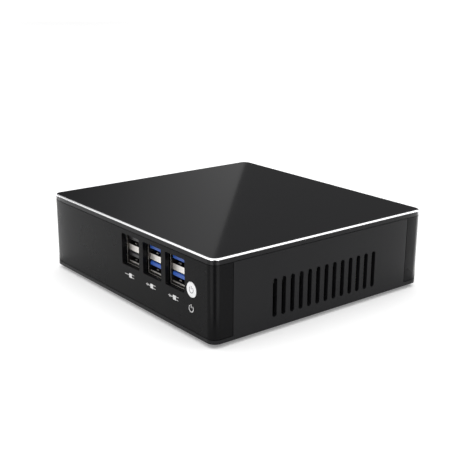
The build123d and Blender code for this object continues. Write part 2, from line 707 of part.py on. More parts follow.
def processor():
    """Processor package and its die, on the underside of the board."""
    width, depth, height = CPU_SIZE
    package = slab(0, 0, BOARD_LOW - height, width, depth, height)
    return package + slab(0, 0, CPU_LOW, *DIE_SIZE)


def chip(x, y, width, depth, height):
    """A moulded chip on the top of the board, with a rim of solder legs."""
    legs = slab(x, y, BOARD_TOP, width, depth, CHIP_FOOT)
    return legs + slab(x, y, BOARD_TOP + CHIP_FOOT, width - 2 * CHIP_RIM, depth - 2 * CHIP_RIM,
                       height - CHIP_FOOT)


def board_chips():
    """Controllers and firmware chip on the upper side of the board."""
    return group(chip(*place) for place in CHIP_PLACES)


def power_inductors():
    """Square moulded chokes beside the DC inlet."""
    x, y = CHOKE_FIRST
    chokes = []
    for i in range(CHOKE_COUNT):
        choke = slab(x - CHOKE_PITCH * i, y, BOARD_TOP, *CHOKE_SIZE)
        chokes.append(chamfer(choke.edges().group_by(Axis.Z)[-1], CHOKE_CHAMFER))
    return group(chokes)


def board_capacitors():
    """Small upright cans beside the chokes."""
    x, y = CAN_FIRST
    cans = []
    for i in range(CAN_COUNT):
        can = rod(x - CAN_PITCH * i, y, CAN_RADIUS, BOARD_TOP, BOARD_TOP + CAN_HEIGHT)
        cans.append(fillet(can.edges().group_by(Axis.Z)[-1], CAN_EDGE_RADIUS))
    return group(cans)


def cell_holder():
    """Moulded ring that keeps the clock's coin cell on the board."""
    bed = BOARD_TOP + CELL_BED
    top = BOARD_TOP + CELL_WALL_HEIGHT
    edge = CELL_Y - CELL_RADIUS
    ring = rod(CELL_X, CELL_Y, CELL_RADIUS + CELL_RIM, BOARD_TOP, top)
    ring -= rod(CELL_X, CELL_Y, CELL_RADIUS + FIT_GAP, bed, top + 1)
    return ring - block(CELL_X - CELL_NOTCH, CELL_X + CELL_NOTCH, edge - CELL_NOTCH, edge + CELL_NOTCH,
                        bed, top + 1)


def coin_cell():
    """Clock battery, with the step of its smaller pole on top."""
    bed = BOARD_TOP + CELL_BED
    inset, step = CELL_STEP
    shoulder = bed + CELL_THICKNESS
    can = rod(CELL_X, CELL_Y, CELL_RADIUS, bed, shoulder)
    return can + rod(CELL_X, CELL_Y, CELL_RADIUS - inset, shoulder, shoulder + step)


def memory_socket():
    """Low socket with two arms that hold the memory module flat."""
    width, depth, height = SOCKET_SIZE
    card_width, _, card_thickness = MEMORY_SIZE
    side_gap = 6 * FIT_GAP
    body = slab(0, MEMORY_Y + depth / 2, BOARD_TOP, width, depth, height)
    body -= slab(0, MEMORY_Y, BOARD_TOP + MEMORY_LIFT - FIT_GAP, card_width + side_gap,
                 2 * MEMORY_SEAT, card_thickness + 2 * FIT_GAP)
    for side in (-1, 1):
        inner = side * (card_width / 2 + side_gap)
        outer = side * width / 2
        body += block(inner, outer, MEMORY_Y - SOCKET_ARM, MEMORY_Y + 1, BOARD_TOP,
                      BOARD_TOP + MEMORY_LIFT + card_thickness)
    return body


def memory_module():
    """Memory card with its chips on the upper face."""
    width, depth, thickness = MEMORY_SIZE
    low = BOARD_TOP + MEMORY_LIFT
    end = MEMORY_Y + MEMORY_SEAT
    card = block(-width / 2, width / 2, end - depth, end, low, low + thickness)
    for i in range(MEMORY_CHIP_COUNT):
        x = (i - (MEMORY_CHIP_COUNT - 1) / 2) * MEMORY_CHIP_PITCH
        card += slab(x, end - depth / 2 - 1, low + thickness, *MEMORY_CHIP)
    return card


def edge_socket(x, side):
    """Low edge socket for a plug-in module; the module leaves it towards side."""
    width = MODULE_WIDTH + 2 * EDGE_SOCKET_SIDE
    body = slab(x, MODULE_Y, BOARD_TOP, EDGE_SOCKET_WIDTH, width, MODULE_TOP + EDGE_SOCKET_CAP - BOARD_TOP)
    inner = x + side * MODULE_SEAT
    outer = x + side * (EDGE_SOCKET_WIDTH / 2 + 1)
    half = MODULE_WIDTH / 2 + FIT_GAP
    return body - block(min(inner, outer), max(inner, outer), MODULE_Y - half, MODULE_Y + half,
                        MODULE_LOW - FIT_GAP, MODULE_TOP + FIT_GAP)


def plug_in_card(x, side, length):
    """Bare module card from its socket to the notch for its screw."""
    start = x + side * MODULE_SEAT
    end = start + side * length
    card = block(min(start, end), max(start, end), MODULE_Y - MODULE_WIDTH / 2,
                 MODULE_Y + MODULE_WIDTH / 2, MODULE_LOW, MODULE_TOP)
    return card - rod(end, MODULE_Y, MODULE_NOTCH, MODULE_LOW - 1, MODULE_TOP + 1)


def storage_module():
    """Solid state card with two memory chips and a controller."""
    card = plug_in_card(STORAGE_SOCKET_X, 1, STORAGE_LENGTH)
    for x in FLASH_CHIP_FROM_SOCKET:
        card += slab(STORAGE_SOCKET_X + x, MODULE_Y, MODULE_TOP, *FLASH_CHIP)
    x = STORAGE_SOCKET_X + FLASH_CONTROLLER_FROM_SOCKET
    return card + slab(x, MODULE_Y, MODULE_TOP, *FLASH_CONTROLLER)


def wireless_card():
    """Wireless card under a stamped screening can, with two aerial sockets."""
    card = plug_in_card(WIRELESS_SOCKET_X, -1, WIRELESS_LENGTH)
    card += slab(WIRELESS_SOCKET_X - WIRELESS_CAN_FROM_SOCKET, MODULE_Y, MODULE_TOP, *WIRELESS_CAN)
    radius, height = AERIAL_JACK
    for y in AERIAL_JACK_Y:
        card += rod(AERIAL_JACK_X, y, radius, MODULE_TOP, MODULE_TOP + height)
    return card


def module_fixings():
    """Standoff and screw at the free end of each plug-in card."""
    stem, stem_height = FIXING_STEM
    head, head_height = FIXING_HEAD
    fixings = []
    for end in (STORAGE_SOCKET_X + MODULE_SEAT + STORAGE_LENGTH,
                WIRELESS_SOCKET_X - MODULE_SEAT - WIRELESS_LENGTH):
        fixing = rod(end, MODULE_Y, FIXING_RADIUS, BOARD_TOP, MODULE_LOW)
        fixing += rod(end, MODULE_Y, stem, MODULE_LOW, MODULE_LOW + stem_height)
        fixings.append(fixing + rod(end, MODULE_Y, head, MODULE_TOP, MODULE_TOP + head_height))
    return group(fixings)


def aerials():
    """Two foil aerials stuck inside the front and the back bezel."""
    width, thickness, height = AERIAL_SIZE
    front = FRONT + WALL
    back = BACK - WALL
    return group([
        block(AERIAL_X[0] - width / 2, AERIAL_X[0] + width / 2, front, front + thickness,
              AERIAL_Z - height / 2, AERIAL_Z + height / 2),
        block(AERIAL_X[1] - width / 2, AERIAL_X[1] + width / 2, back - thickness, back,
              AERIAL_Z - height / 2, AERIAL_Z + height / 2)])


def lead(points, radius, bend):
    """A round lead along straight runs joined by arcs."""
    path = FilletPolyline(*points, radius=bend)
    start = Plane(origin=path @ 0, z_dir=path % 0)
    return sweep(start * Circle(radius), path)


def aerial_leads():
    """Thin coaxial leads from the wireless card to the two aerials."""
    leads = []
    top = MODULE_TOP + AERIAL_JACK[1]
    bend = min(LEAD_BEND, 0.9 * (LEAD_LEVEL - top))
    walls = (FRONT + WALL + AERIAL_SIZE[1], BACK - WALL - AERIAL_SIZE[1])
    for jack_y, x, wall_y in zip(AERIAL_JACK_Y, AERIAL_X, walls):
        points = [(AERIAL_JACK_X, jack_y, top), (AERIAL_JACK_X, jack_y, LEAD_LEVEL),
                  (x, jack_y, LEAD_LEVEL), (x, wall_y, LEAD_LEVEL)]
        leads.append(lead(points, LEAD_RADIUS, bend))
    return group(leads)


# --- Cooling --------------------------------------------------------------------------

def heatsink():
    """Aluminium block on the processor; its fins are cleared round the fan."""
    top = CPU_LOW
    low = FAN_LOW
    base = slab(0, 0, top - SINK_BASE, SINK_LENGTH, SINK_WIDTH, SINK_BASE)
    count = int((SINK_WIDTH - FIN_THICKNESS) / FIN_PITCH) + 1
    for i in range(count):
        y = (i - (count - 1) / 2) * FIN_PITCH
        base += slab(0, y, low, SINK_LENGTH, FIN_THICKNESS, top - SINK_BASE - low)
    pocket = FAN_SIZE + 2 * SINK_POCKET_GAP
    base -= slab(0, 0, low - 1, pocket, pocket, FAN_THICKNESS + SINK_POCKET_TOP)
    channel, channel_height = SINK_CHANNEL
    base -= block(-channel / 2, channel / 2, -SINK_WIDTH, 1 - FAN_SIZE / 2, low - 1, low + channel_height)
    for x, y in four(FAN_HOLE_PITCH / 2, FAN_HOLE_PITCH / 2):
        base += rod(x, y, SINK_PILLAR, FAN_TOP, top - SINK_BASE / 2)
        base -= rod(x, y, SINK_THREAD, FAN_TOP - 1, top - THREAD_END)
    for x, y in four(SINK_SCREW_X, SINK_SCREW_Y):
        base += rod(x, y, SINK_PILLAR, top - SINK_BASE / 2, BOARD_LOW)
        base -= rod(x, y, SINK_THREAD, top - SINK_BASE + THREAD_END, BOARD_LOW + 1)
    return base


def heatsink_screws():
    """Screws from the top of the board into the heatsink's pillars."""
    tip = CPU_LOW - SINK_BASE + 2 * THREAD_END
    return group(pan_head_screw(x, y, SINK_THREAD, *SINK_SCREW_HEAD, BOARD_TOP, tip)
                 for x, y in four(SINK_SCREW_X, SINK_SCREW_Y))


def fan_frame():
    """Square fan housing with a round duct, a bearing plate and four arms."""
    sink, sink_depth = FAN_HEAD_SINK
    frame = round_slab(FAN_SIZE, FAN_SIZE, FAN_CORNER, FAN_LOW, FAN_TOP)
    frame -= rod(0, 0, FAN_BORE, FAN_LOW - 1, FAN_TOP + 1)
    plate = rod(0, 0, FAN_HUB, FAN_LOW, FAN_LOW + FAN_PLATE)
    for turn in (45, 135):
        middle = Pos(0, 0, FAN_LOW + FAN_PLATE / 2) * Rot(0, 0, turn)
        plate += middle * Box(2 * FAN_BORE + 1, FAN_ARM_WIDTH, FAN_PLATE)
    frame += plate
    frame -= rod(0, 0, SHAFT_RADIUS + SHAFT_GAP, FAN_LOW + SHAFT_LIFT, FAN_TOP)
    for x, y in four(FAN_HOLE_PITCH / 2, FAN_HOLE_PITCH / 2):
        frame -= rod(x, y, FAN_HOLE, FAN_LOW - 1, FAN_TOP + 1)
        frame -= rod(x, y, sink, FAN_LOW - 1, FAN_LOW + sink_depth)
    return frame


def fan_impeller():
    """Hub, shaft and swept blades that turn together."""
    low = FAN_LOW + FAN_PLATE + IMPELLER_GAP[0]
    high = FAN_TOP - IMPELLER_GAP[1]
    tip = FAN_BORE - FAN_TIP_GAP
    hub = rod(0, 0, FAN_HUB, low, high)
    hub = fillet(hub.edges().group_by(Axis.Z)[-1], HUB_EDGE_RADIUS)
    zone = rod(0, 0, tip, low + BLADE_GAP[0], high - BLADE_GAP[1])
    zone -= rod(0, 0, FAN_HUB - BLADE_ROOT, low - 1, high + 1)
    reach = tip - FAN_HUB
    chord = (high - low) / math.sin(math.radians(BLADE_PITCH_ANGLE)) + 2
    middle = Pos(FAN_HUB + reach / 2, 0, (low + high) / 2) * Rot(BLADE_PITCH_ANGLE, 0, 0)
    blade = middle * Box(reach + 3, chord, BLADE_THICKNESS)
    for i in range(FAN_BLADES):
        hub += (Rot(0, 0, 360 / FAN_BLADES * i) * blade) & zone
    return hub + rod(0, 0, SHAFT_RADIUS, FAN_LOW + SHAFT_LIFT + 2 * SHAFT_GAP, low + 1)


def fan_screws():
    """Screws through the fan's corners into the heatsink."""
    seat = FAN_LOW + FAN_HEAD_SINK[1]
    tip = CPU_LOW - 2 * THREAD_END
    return group(pan_head_screw(x, y, SINK_THREAD, *FAN_SCREW_HEAD, seat, tip)
                 for x, y in four(FAN_HOLE_PITCH / 2, FAN_HOLE_PITCH / 2))


def fan_header():
    """Plug and header on the underside of the board for the fan's lead."""
    return slab(0, HEADER_Y, HEADER_LOW, *HEADER_SIZE)


def fan_lead():
    """Lead from the side of the fan through the fins and up to its header."""
    level = FAN_LOW + FAN_LEAD_LIFT
    points = [(0, -FAN_SIZE / 2, level), (0, HEADER_Y, level), (0, HEADER_Y, HEADER_LOW)]
    return lead(points, FAN_LEAD_RADIUS, FAN_LEAD_BEND)


# --- Drive bay ------------------------------------------------------------------------

def drive():
    """Flat solid state drive in its metal case."""
    body = slab(0, 0, DRIVE_LOW, DRIVE_LENGTH, DRIVE_WIDTH, DRIVE_THICKNESS)
    body = fillet(body.edges().filter_by(Axis.Z), DRIVE_CORNER)
    return chamfer(body.edges().group_by(Axis.Z)[-1], DRIVE_CHAMFER)


def bracket_points():
    """Where the bracket's flanges are screwed to the lid."""
    from_middle = DRIVE_WIDTH / 2 + BRACKET_SHEET + BRACKET_FLANGE / 2 + 3 * BRACKET_SIDE_GAP
    return four(BRACKET_LENGTH / 2 - BRACKET_SCREW_FROM_END, from_middle)


def drive_bracket():
    """Folded tray that hangs the drive under the lid."""
    half = DRIVE_WIDTH / 2 + BRACKET_SIDE_GAP
    low = DRIVE_LOW - BRACKET_SHEET
    tray = slab(0, 0, low, BRACKET_LENGTH, 2 * (half + BRACKET_SHEET), BRACKET_SHEET)
    for side in (-1, 1):
        inner = side * half
        outer = side * (half + BRACKET_SHEET)
        rim = side * (half + BRACKET_SHEET + BRACKET_FLANGE)
        tray += block(-BRACKET_LENGTH / 2, BRACKET_LENGTH / 2, min(inner, outer), max(inner, outer),
                      low, LID_CEILING)
        tray += block(-BRACKET_LENGTH / 2, BRACKET_LENGTH / 2, min(inner, rim), max(inner, rim),
                      LID_CEILING - BRACKET_SHEET, LID_CEILING)
    for x in (-1, 1):
        tray -= slab(x * BRACKET_LENGTH / 4, 0, low - 1, BRACKET_LENGTH / 4,
                     DRIVE_WIDTH * BRACKET_WINDOW, BRACKET_SHEET + 1.2)
    for x, y in bracket_points():
        tray -= rod(x, y, BRACKET_HOLE, LID_CEILING - 3, LID_CEILING + 1)
    return tray


def bracket_screws():
    """Short screws from below through the flanges."""
    seat = LID_CEILING - BRACKET_SHEET
    return group(pan_head_screw(x, y, *BRACKET_SCREW, seat, LID_CEILING)
                 for x, y in bracket_points())


def data_plugs():
    """Cable plug on the drive and the matching socket on the board."""
    left = -DRIVE_LENGTH / 2
    half = RIBBON_WIDTH / 2 + PLUG_SIDE
    low, high = DRIVE_PLUG
    return group([
        block(left - PLUG_DEPTH, left, -half, half, DRIVE_LOW + low, DRIVE_LOW + high),
        block(left - PLUG_DEPTH, left, -half, half, BOARD_TOP, BOARD_TOP + BOARD_PLUG_HEIGHT)])


def data_ribbon():
    """Flat ribbon that turns back from the drive's plug to the board's socket."""
    high = DRIVE_LOW + RIBBON_LIFT[0]
    low = BOARD_TOP + RIBBON_LIFT[1]
    left = -DRIVE_LENGTH / 2 - PLUG_DEPTH
    radius = (high - low) / 2
    half = RIBBON_THICKNESS / 2
    bend = Circle(radius + half) - Circle(radius - half)
    bend &= Pos(-radius, 0) * Rectangle(2 * radius, 4 * radius)
    section = Plane.XZ * Pos(left, (high + low) / 2) * bend
    return Pos(0, RIBBON_WIDTH / 2, 0) * extrude(section, RIBBON_WIDTH)


# --- Connectors on the back edge ------------------------------------------------------

def rear_block(x, size):
    """The outline of a back-edge connector."""
    width, depth, height = size
    low = BOARD_TOP + CONNECTOR_LIFT
    return block(x - width / 2, x + width / 2, REAR_FACE - depth, REAR_FACE, low, low + height)


def rear_lug(x, size):
    """The pads that carry a back-edge connector on the board."""
    width, depth, _ = size
    edge = BOARD_LENGTH / 2
    side, end = REAR_LUG_INSET
    return block(x - width / 2 + side, x + width / 2 - side, REAR_FACE - depth + end, edge - end,
                 BOARD_TOP, BOARD_TOP + CONNECTOR_LIFT)


def dc_inlet():
    """Moulded barrel inlet for the power supply's plug."""
    body = rear_block(DC_X, DC_SIZE) + rear_lug(DC_X, DC_SIZE)
    body -= rod_along_y(DC_X, DC_AXIS_Z, DC_BORE, REAR_FACE - DC_DEPTH, REAR_FACE + 1)
    return body - rod_along_y(DC_X, DC_AXIS_Z, DC_PIN, REAR_FACE - DC_DEPTH - 2, REAR_FACE)


def dc_pin():
    """Centre contact of the inlet."""
    tip = REAR_FACE - DC_PIN_SETBACK
    pin = rod_along_y(DC_X, DC_AXIS_Z, DC_PIN, REAR_FACE - DC_DEPTH - 2, tip)
    return fillet(pin.edges().group_by(Axis.Y)[-1], DC_PIN_ROUND)


def display_outline(x, inset, y0, y1):
    """Display connector section: a rectangle with its lower corners cut off."""
    width, _, height = DISPLAY_SIZE
    half = width / 2 - inset
    low = BOARD_TOP + CONNECTOR_LIFT + inset
    high = BOARD_TOP + CONNECTOR_LIFT + height - inset
    cut = DISPLAY_CUT
    points = [(x - half, high), (x + half, high), (x + half, low + cut), (x + half - cut, low),
              (x - half + cut, low), (x - half, low + cut)]
    face = make_face(Polyline(*[(px, -y0, pz) for px, pz in points], close=True))
    return extrude(face, y1 - y0, dir=(0, 1, 0)).moved(Location((0, 2 * y0, 0)))


def display_shells():
    """Bright metal shells of the two display connectors."""
    shells = []
    for x in DISPLAY_X:
        start = REAR_FACE - DISPLAY_SIZE[1]
        shell = display_outline(x, 0, start, REAR_FACE)
        shell -= display_outline(x, DISPLAY_SHEET, start + DISPLAY_BACK, REAR_FACE + 1)
        shells.append(shell + rear_lug(x, (DISPLAY_SIZE[0] - 3, DISPLAY_SIZE[1], 0)))
    return group(shells)


def display_tongues():
    """Contact tongues inside the display shells."""
    width, height = DISPLAY_TONGUE
    tongues = []
    centre_z = BOARD_TOP + CONNECTOR_LIFT + DISPLAY_SIZE[2] * DISPLAY_TONGUE_SHARE
    for x in DISPLAY_X:
        start = REAR_FACE - DISPLAY_SIZE[1] + DISPLAY_BACK
        tongue = block(x - width / 2, x + width / 2, start, REAR_FACE - DISPLAY_TONGUE_SETBACK,
                       centre_z - height / 2, centre_z + height / 2)
        tongues.append(chamfer(tongue.edges().filter_by(Axis.X).group_by(Axis.Y)[-1], DISPLAY_TONGUE_CHAMFER))
    return group(tongues)


def lan_jack():
    """Shielded network jack with its stepped mouth."""
    body = rear_block(LAN_X, LAN_SIZE) + rear_lug(LAN_X, LAN_SIZE)
    width, depth, height = LAN_MOUTH
    low = BOARD_TOP + CONNECTOR_LIFT + LAN_SILL
    latch_width, latch_height = LAN_LATCH
    back = REAR_FACE - depth
    body -= slab(LAN_X, back + (depth + 1) / 2, low, width, depth + 1, height)
    return body - slab(LAN_X, back + (depth + 1) / 2, low + height - 1, latch_width, depth + 1,
                       latch_height + 1)


def lan_contacts():
    """Eight sprung wires across the floor of the network jack's mouth."""
    low = BOARD_TOP + CONNECTOR_LIFT + LAN_SILL
    width, length, height = LAN_WIRE
    start = REAR_FACE - LAN_MOUTH[1]
    wires = []
    for i in range(LAN_WIRES):
        x = LAN_X + (i - (LAN_WIRES - 1) / 2) * LAN_WIRE_PITCH
        wires.append(slab(x, start + length / 2, low, width, length, height))
    return group(wires)


def audio_jacks():
    """Two round sockets for headphones and a microphone."""
    jacks = []
    for x in AUDIO_X:
        jack = rear_block(x, AUDIO_SIZE) + rear_lug(x, AUDIO_SIZE)
        start = REAR_FACE - AUDIO_DEPTH
        jacks.append(jack - rod_along_y(x, AUDIO_AXIS_Z, AUDIO_BORE, start, REAR_FACE + 1))
    return group(jacks)


# --- Every node, by name --------------------------------------------------------------

parts = {
    "base_chassis": base_chassis(),
    "front_bezel": front_bezel(),
    "rear_bezel": rear_bezel(),
    "lid_frame": lid_frame(),
    "trim_ring": trim_ring(),
    "top_plate": top_plate(),
    "rubber_feet": rubber_feet(),
    "case_screws": case_screws(),
    "vesa_nuts": vesa_nuts(),
    "power_button": power_button(),
    "button_sleeve": button_sleeve(),
    "switch_body": switch_body(),
    "switch_plunger": switch_plunger(),
    "motherboard": motherboard(),
    "board_standoffs": board_standoffs(),
    "board_screws": board_screws(),
    "processor": processor(),
    "board_chips": board_chips(),
    "power_inductors": power_inductors(),
    "board_capacitors": board_capacitors(),
    "cell_holder": cell_holder(),
    "coin_cell": coin_cell(),
    "memory_socket": memory_socket(),
    "memory_module": memory_module(),
    "storage_socket": edge_socket(STORAGE_SOCKET_X, 1),
    "storage_module": storage_module(),
    "wireless_socket": edge_socket(WIRELESS_SOCKET_X, -1),
    "wireless_card": wireless_card(),
    "module_fixings": module_fixings(),
    "aerials": aerials(),
    "aerial_leads": aerial_leads(),
    "heatsink": heatsink(),
    "heatsink_screws": heatsink_screws(),
    "fan_frame": fan_frame(),
    "fan_impeller": fan_impeller(),
    "fan_screws": fan_screws(),
    "fan_header": fan_header(),
    "fan_lead": fan_lead(),
    "drive": drive(),
    "drive_bracket": drive_bracket(),
    "bracket_screws": bracket_screws(),
    "data_plugs": data_plugs(),
    "data_ribbon": data_ribbon(),
    "dc_inlet": dc_inlet(),
    "dc_pin": dc_pin(),
    "display_shells": display_shells(),
    "display_tongues": display_tongues(),
    "lan_jack": lan_jack(),
    "lan_contacts": lan_contacts(),
    "audio_jacks": audio_jacks(),
}

# The left stack is the slow kind, with four contacts in each port; the other two are fast
for name, x, fast_pads in zip(("left", "middle", "right"), STACK_X, (0, 5, 5)):
    parts[f"usb_{name}_shell"] = stack_shell(x)
    parts[f"usb_{name}_insulator"] = stack_insulator(x)
    parts[f"usb_{name}_contacts"] = stack_contacts(x, 4, fast_pads)

os.makedirs("parts", exist_ok=True)
for name, shape in parts.items():
    export_step(shape, f"parts/{name}.step")
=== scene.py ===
import math

import bmesh
import bpy
from mathutils import Matrix, Vector


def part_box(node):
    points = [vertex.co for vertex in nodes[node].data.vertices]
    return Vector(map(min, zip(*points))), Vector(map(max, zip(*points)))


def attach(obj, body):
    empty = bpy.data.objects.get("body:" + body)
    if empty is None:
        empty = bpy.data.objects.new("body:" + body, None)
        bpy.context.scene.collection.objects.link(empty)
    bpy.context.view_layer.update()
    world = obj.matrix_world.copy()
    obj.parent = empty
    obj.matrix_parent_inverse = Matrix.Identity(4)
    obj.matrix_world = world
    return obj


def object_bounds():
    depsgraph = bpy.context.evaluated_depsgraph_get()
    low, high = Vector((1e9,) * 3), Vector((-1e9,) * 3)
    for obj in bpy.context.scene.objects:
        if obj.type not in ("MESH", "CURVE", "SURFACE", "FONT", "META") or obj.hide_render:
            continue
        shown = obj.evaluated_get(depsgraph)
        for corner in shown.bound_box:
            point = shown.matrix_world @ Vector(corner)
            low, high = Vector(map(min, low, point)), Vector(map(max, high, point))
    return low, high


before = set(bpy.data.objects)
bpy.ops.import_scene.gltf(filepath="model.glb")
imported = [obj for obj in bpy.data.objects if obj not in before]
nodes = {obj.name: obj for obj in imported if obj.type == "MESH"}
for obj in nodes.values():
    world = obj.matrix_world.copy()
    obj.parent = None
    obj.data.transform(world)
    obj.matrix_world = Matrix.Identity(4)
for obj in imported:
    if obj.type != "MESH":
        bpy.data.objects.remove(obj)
cad_low, cad_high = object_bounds()
MM = 0.001

# ---------------------------------------------------------------------------------------
# Lid and chassis. Pressed aluminium, sprayed satin black over a fine primer, so the
# surface has a faint orange peel. The lid is screwed down from below.
# ---------------------------------------------------------------------------------------


def new_group(name, inputs, outputs):
    """An empty node group with named sockets; each input gives its kind and its first value."""
    tree = bpy.data.node_groups.new(name, "ShaderNodeTree")
    for label, kind, value in inputs:
        socket = tree.interface.new_socket(label, in_out="INPUT", socket_type=kind)
        if value is not None:
            socket.default_value = value
    for label, kind in outputs:
        tree.interface.new_socket(label, in_out="OUTPUT", socket_type=kind)
    return tree, tree.nodes.new("NodeGroupInput"), tree.nodes.new("NodeGroupOutput")


def grain_group():
    """Fine skin of a sprayed or moulded surface: a roughness that drifts, and small bumps."""
    tree, given, result = new_group(
        "skin_grain",
        [("Grain Scale", "NodeSocketFloat", 2500.0), ("Grain Depth", "NodeSocketFloat", 0.2),
         ("Smoothest", "NodeSocketFloat", 0.35), ("Roughest", "NodeSocketFloat", 0.45)],
        [("Roughness", "NodeSocketFloat"), ("Normal", "NodeSocketVector")])
    place = tree.nodes.new("ShaderNodeTexCoord")
    drift = tree.nodes.new("ShaderNodeTexNoise")
    drift.inputs["Scale"].default_value = 60.0
    drift.inputs["Detail"].default_value = 4.0
    spread = tree.nodes.new("ShaderNodeMapRange")
    grain = tree.nodes.new("ShaderNodeTexNoise")
    grain.inputs["Detail"].default_value = 3.0
    bump = tree.nodes.new("ShaderNodeBump")
    bump.inputs["Distance"].default_value = 0.00004
    link = tree.links.new
    link(place.outputs["Object"], drift.inputs["Vector"])
    link(place.outputs["Object"], grain.inputs["Vector"])
    link(given.outputs["Grain Scale"], grain.inputs["Scale"])
    link(drift.outputs["Fac"], spread.inputs["Value"])
    link(given.outputs["Smoothest"], spread.inputs["To Min"])
    link(given.outputs["Roughest"], spread.inputs["To Max"])
    link(spread.outputs["Result"], result.inputs["Roughness"])
    link(grain.outputs["Fac"], bump.inputs["Height"])
    link(given.outputs["Grain Depth"], bump.inputs["Strength"])
    link(bump.outputs["Normal"], result.inputs["Normal"])
    return tree


def tint_group():
    """Slow drift between two close tones, as pigment and handling leave it."""
    tree, given, result = new_group(
        "tone_drift",
        [("Tone", "NodeSocketColor", (0.5, 0.5, 0.5, 1.0)),
         ("Other Tone", "NodeSocketColor", (0.4, 0.4, 0.4, 1.0)),
         ("Patch Scale", "NodeSocketFloat", 35.0)],
        [("Color", "NodeSocketColor")])
    place = tree.nodes.new("ShaderNodeTexCoord")
    patch = tree.nodes.new("ShaderNodeTexNoise")
    patch.inputs["Detail"].default_value = 5.0
    mix = tree.nodes.new("ShaderNodeMix")
    mix.data_type = "RGBA"
    link = tree.links.new
    link(place.outputs["Object"], patch.inputs["Vector"])
    link(given.outputs["Patch Scale"], patch.inputs["Scale"])
    link(patch.outputs["Fac"], mix.inputs["Factor"])
    link(given.outputs["Tone"], mix.inputs[6])
    link(given.outputs["Other Tone"], mix.inputs[7])
    link(mix.outputs[2], result.inputs["Color"])
    return tree


skin_grain = grain_group()
tone_drift = tint_group()


def grained(name, tone, other_tone, smoothest, roughest, scale=2500.0, depth=0.2, specular=0.5, metal=0.0):
    """A sprayed or moulded surface with its own tones and skin."""
    material = bpy.data.materials.new(name)
    material.use_nodes = True
    tree = material.node_tree
    shader = tree.nodes["Principled BSDF"]
    shader.inputs["Specular IOR Level"].default_value = specular
    shader.inputs["Metallic"].default_value = metal
    tint = tree.nodes.new("ShaderNodeGroup")
    tint.node_tree = tone_drift
    tint.inputs["Tone"].default_value = (*tone, 1.0)
    tint.inputs["Other Tone"].default_value = (*other_tone, 1.0)
    skin = tree.nodes.new("ShaderNodeGroup")
    skin.node_tree = skin_grain
    skin.inputs["Grain Scale"].default_value = scale
    skin.inputs["Grain Depth"].default_value = depth
    skin.inputs["Smoothest"].default_value = smoothest
    skin.inputs["Roughest"].default_value = roughest
    tree.links.new(tint.outputs["Color"], shader.inputs["Base Color"])
    tree.links.new(skin.outputs["Roughness"], shader.inputs["Roughness"])
    tree.links.new(skin.outputs["Normal"], shader.inputs["Normal"])
    return material


def dress(material, *names):
    """Gives CAD nodes their finish."""
    for name in names:
        mesh = nodes[name].data
        mesh.materials.clear()
        mesh.materials.append(material)


satin_paint = grained("satin_black_paint", (0.008, 0.008, 0.009), (0.011, 0.011, 0.012), 0.26, 0.34,
                      scale=1800.0, depth=0.16, specular=0.13)
dress(satin_paint, "base_chassis", "lid_frame")

# ---------------------------------------------------------------------------------------
# Front and rear bezels. Moulded ABS with a fine spark texture, a touch duller than the
# painted metal beside it. They are clamped between the floor and the lid.
# ---------------------------------------------------------------------------------------

bezel_plastic = grained("bezel_spark_texture", (0.004, 0.004, 0.0045), (0.006, 0.006, 0.0065), 0.24, 0.32,
                        scale=3200.0, depth=0.16, specular=0.06)
dress(bezel_plastic, "front_bezel", "rear_bezel")

# ---------------------------------------------------------------------------------------
# Trim ring. Aluminium, diamond cut after anodising, so its slope is bright with very
# fine tool lines that run along it.
# ---------------------------------------------------------------------------------------


def lines_group():
    """Fine parallel scratches: noise stretched along one direction."""
    tree, given, result = new_group(
        "tool_lines",
        [("Stretch", "NodeSocketVector", (1.0, 1.0, 1.0)), ("Line Depth", "NodeSocketFloat", 0.1),
         ("Smoothest", "NodeSocketFloat", 0.15), ("Roughest", "NodeSocketFloat", 0.3)],
        [("Roughness", "NodeSocketFloat"), ("Normal", "NodeSocketVector")])
    place = tree.nodes.new("ShaderNodeTexCoord")
    stretch = tree.nodes.new("ShaderNodeVectorMath")
    stretch.operation = "MULTIPLY"
    lines = tree.nodes.new("ShaderNodeTexNoise")
    lines.inputs["Scale"].default_value = 1.0
    lines.inputs["Detail"].default_value = 4.0
    spread = tree.nodes.new("ShaderNodeMapRange")
    bump = tree.nodes.new("ShaderNodeBump")
    bump.inputs["Distance"].default_value = 0.00002
    link = tree.links.new
    link(place.outputs["Object"], stretch.inputs[0])
    link(given.outputs["Stretch"], stretch.inputs[1])
    link(stretch.outputs["Vector"], lines.inputs["Vector"])
    link(lines.outputs["Fac"], spread.inputs["Value"])
    link(given.outputs["Smoothest"], spread.inputs["To Min"])
    link(given.outputs["Roughest"], spread.inputs["To Max"])
    link(spread.outputs["Result"], result.inputs["Roughness"])
    link(lines.outputs["Fac"], bump.inputs["Height"])
    link(given.outputs["Line Depth"], bump.inputs["Strength"])
    link(bump.outputs["Normal"], result.inputs["Normal"])
    return tree


tool_lines = lines_group()


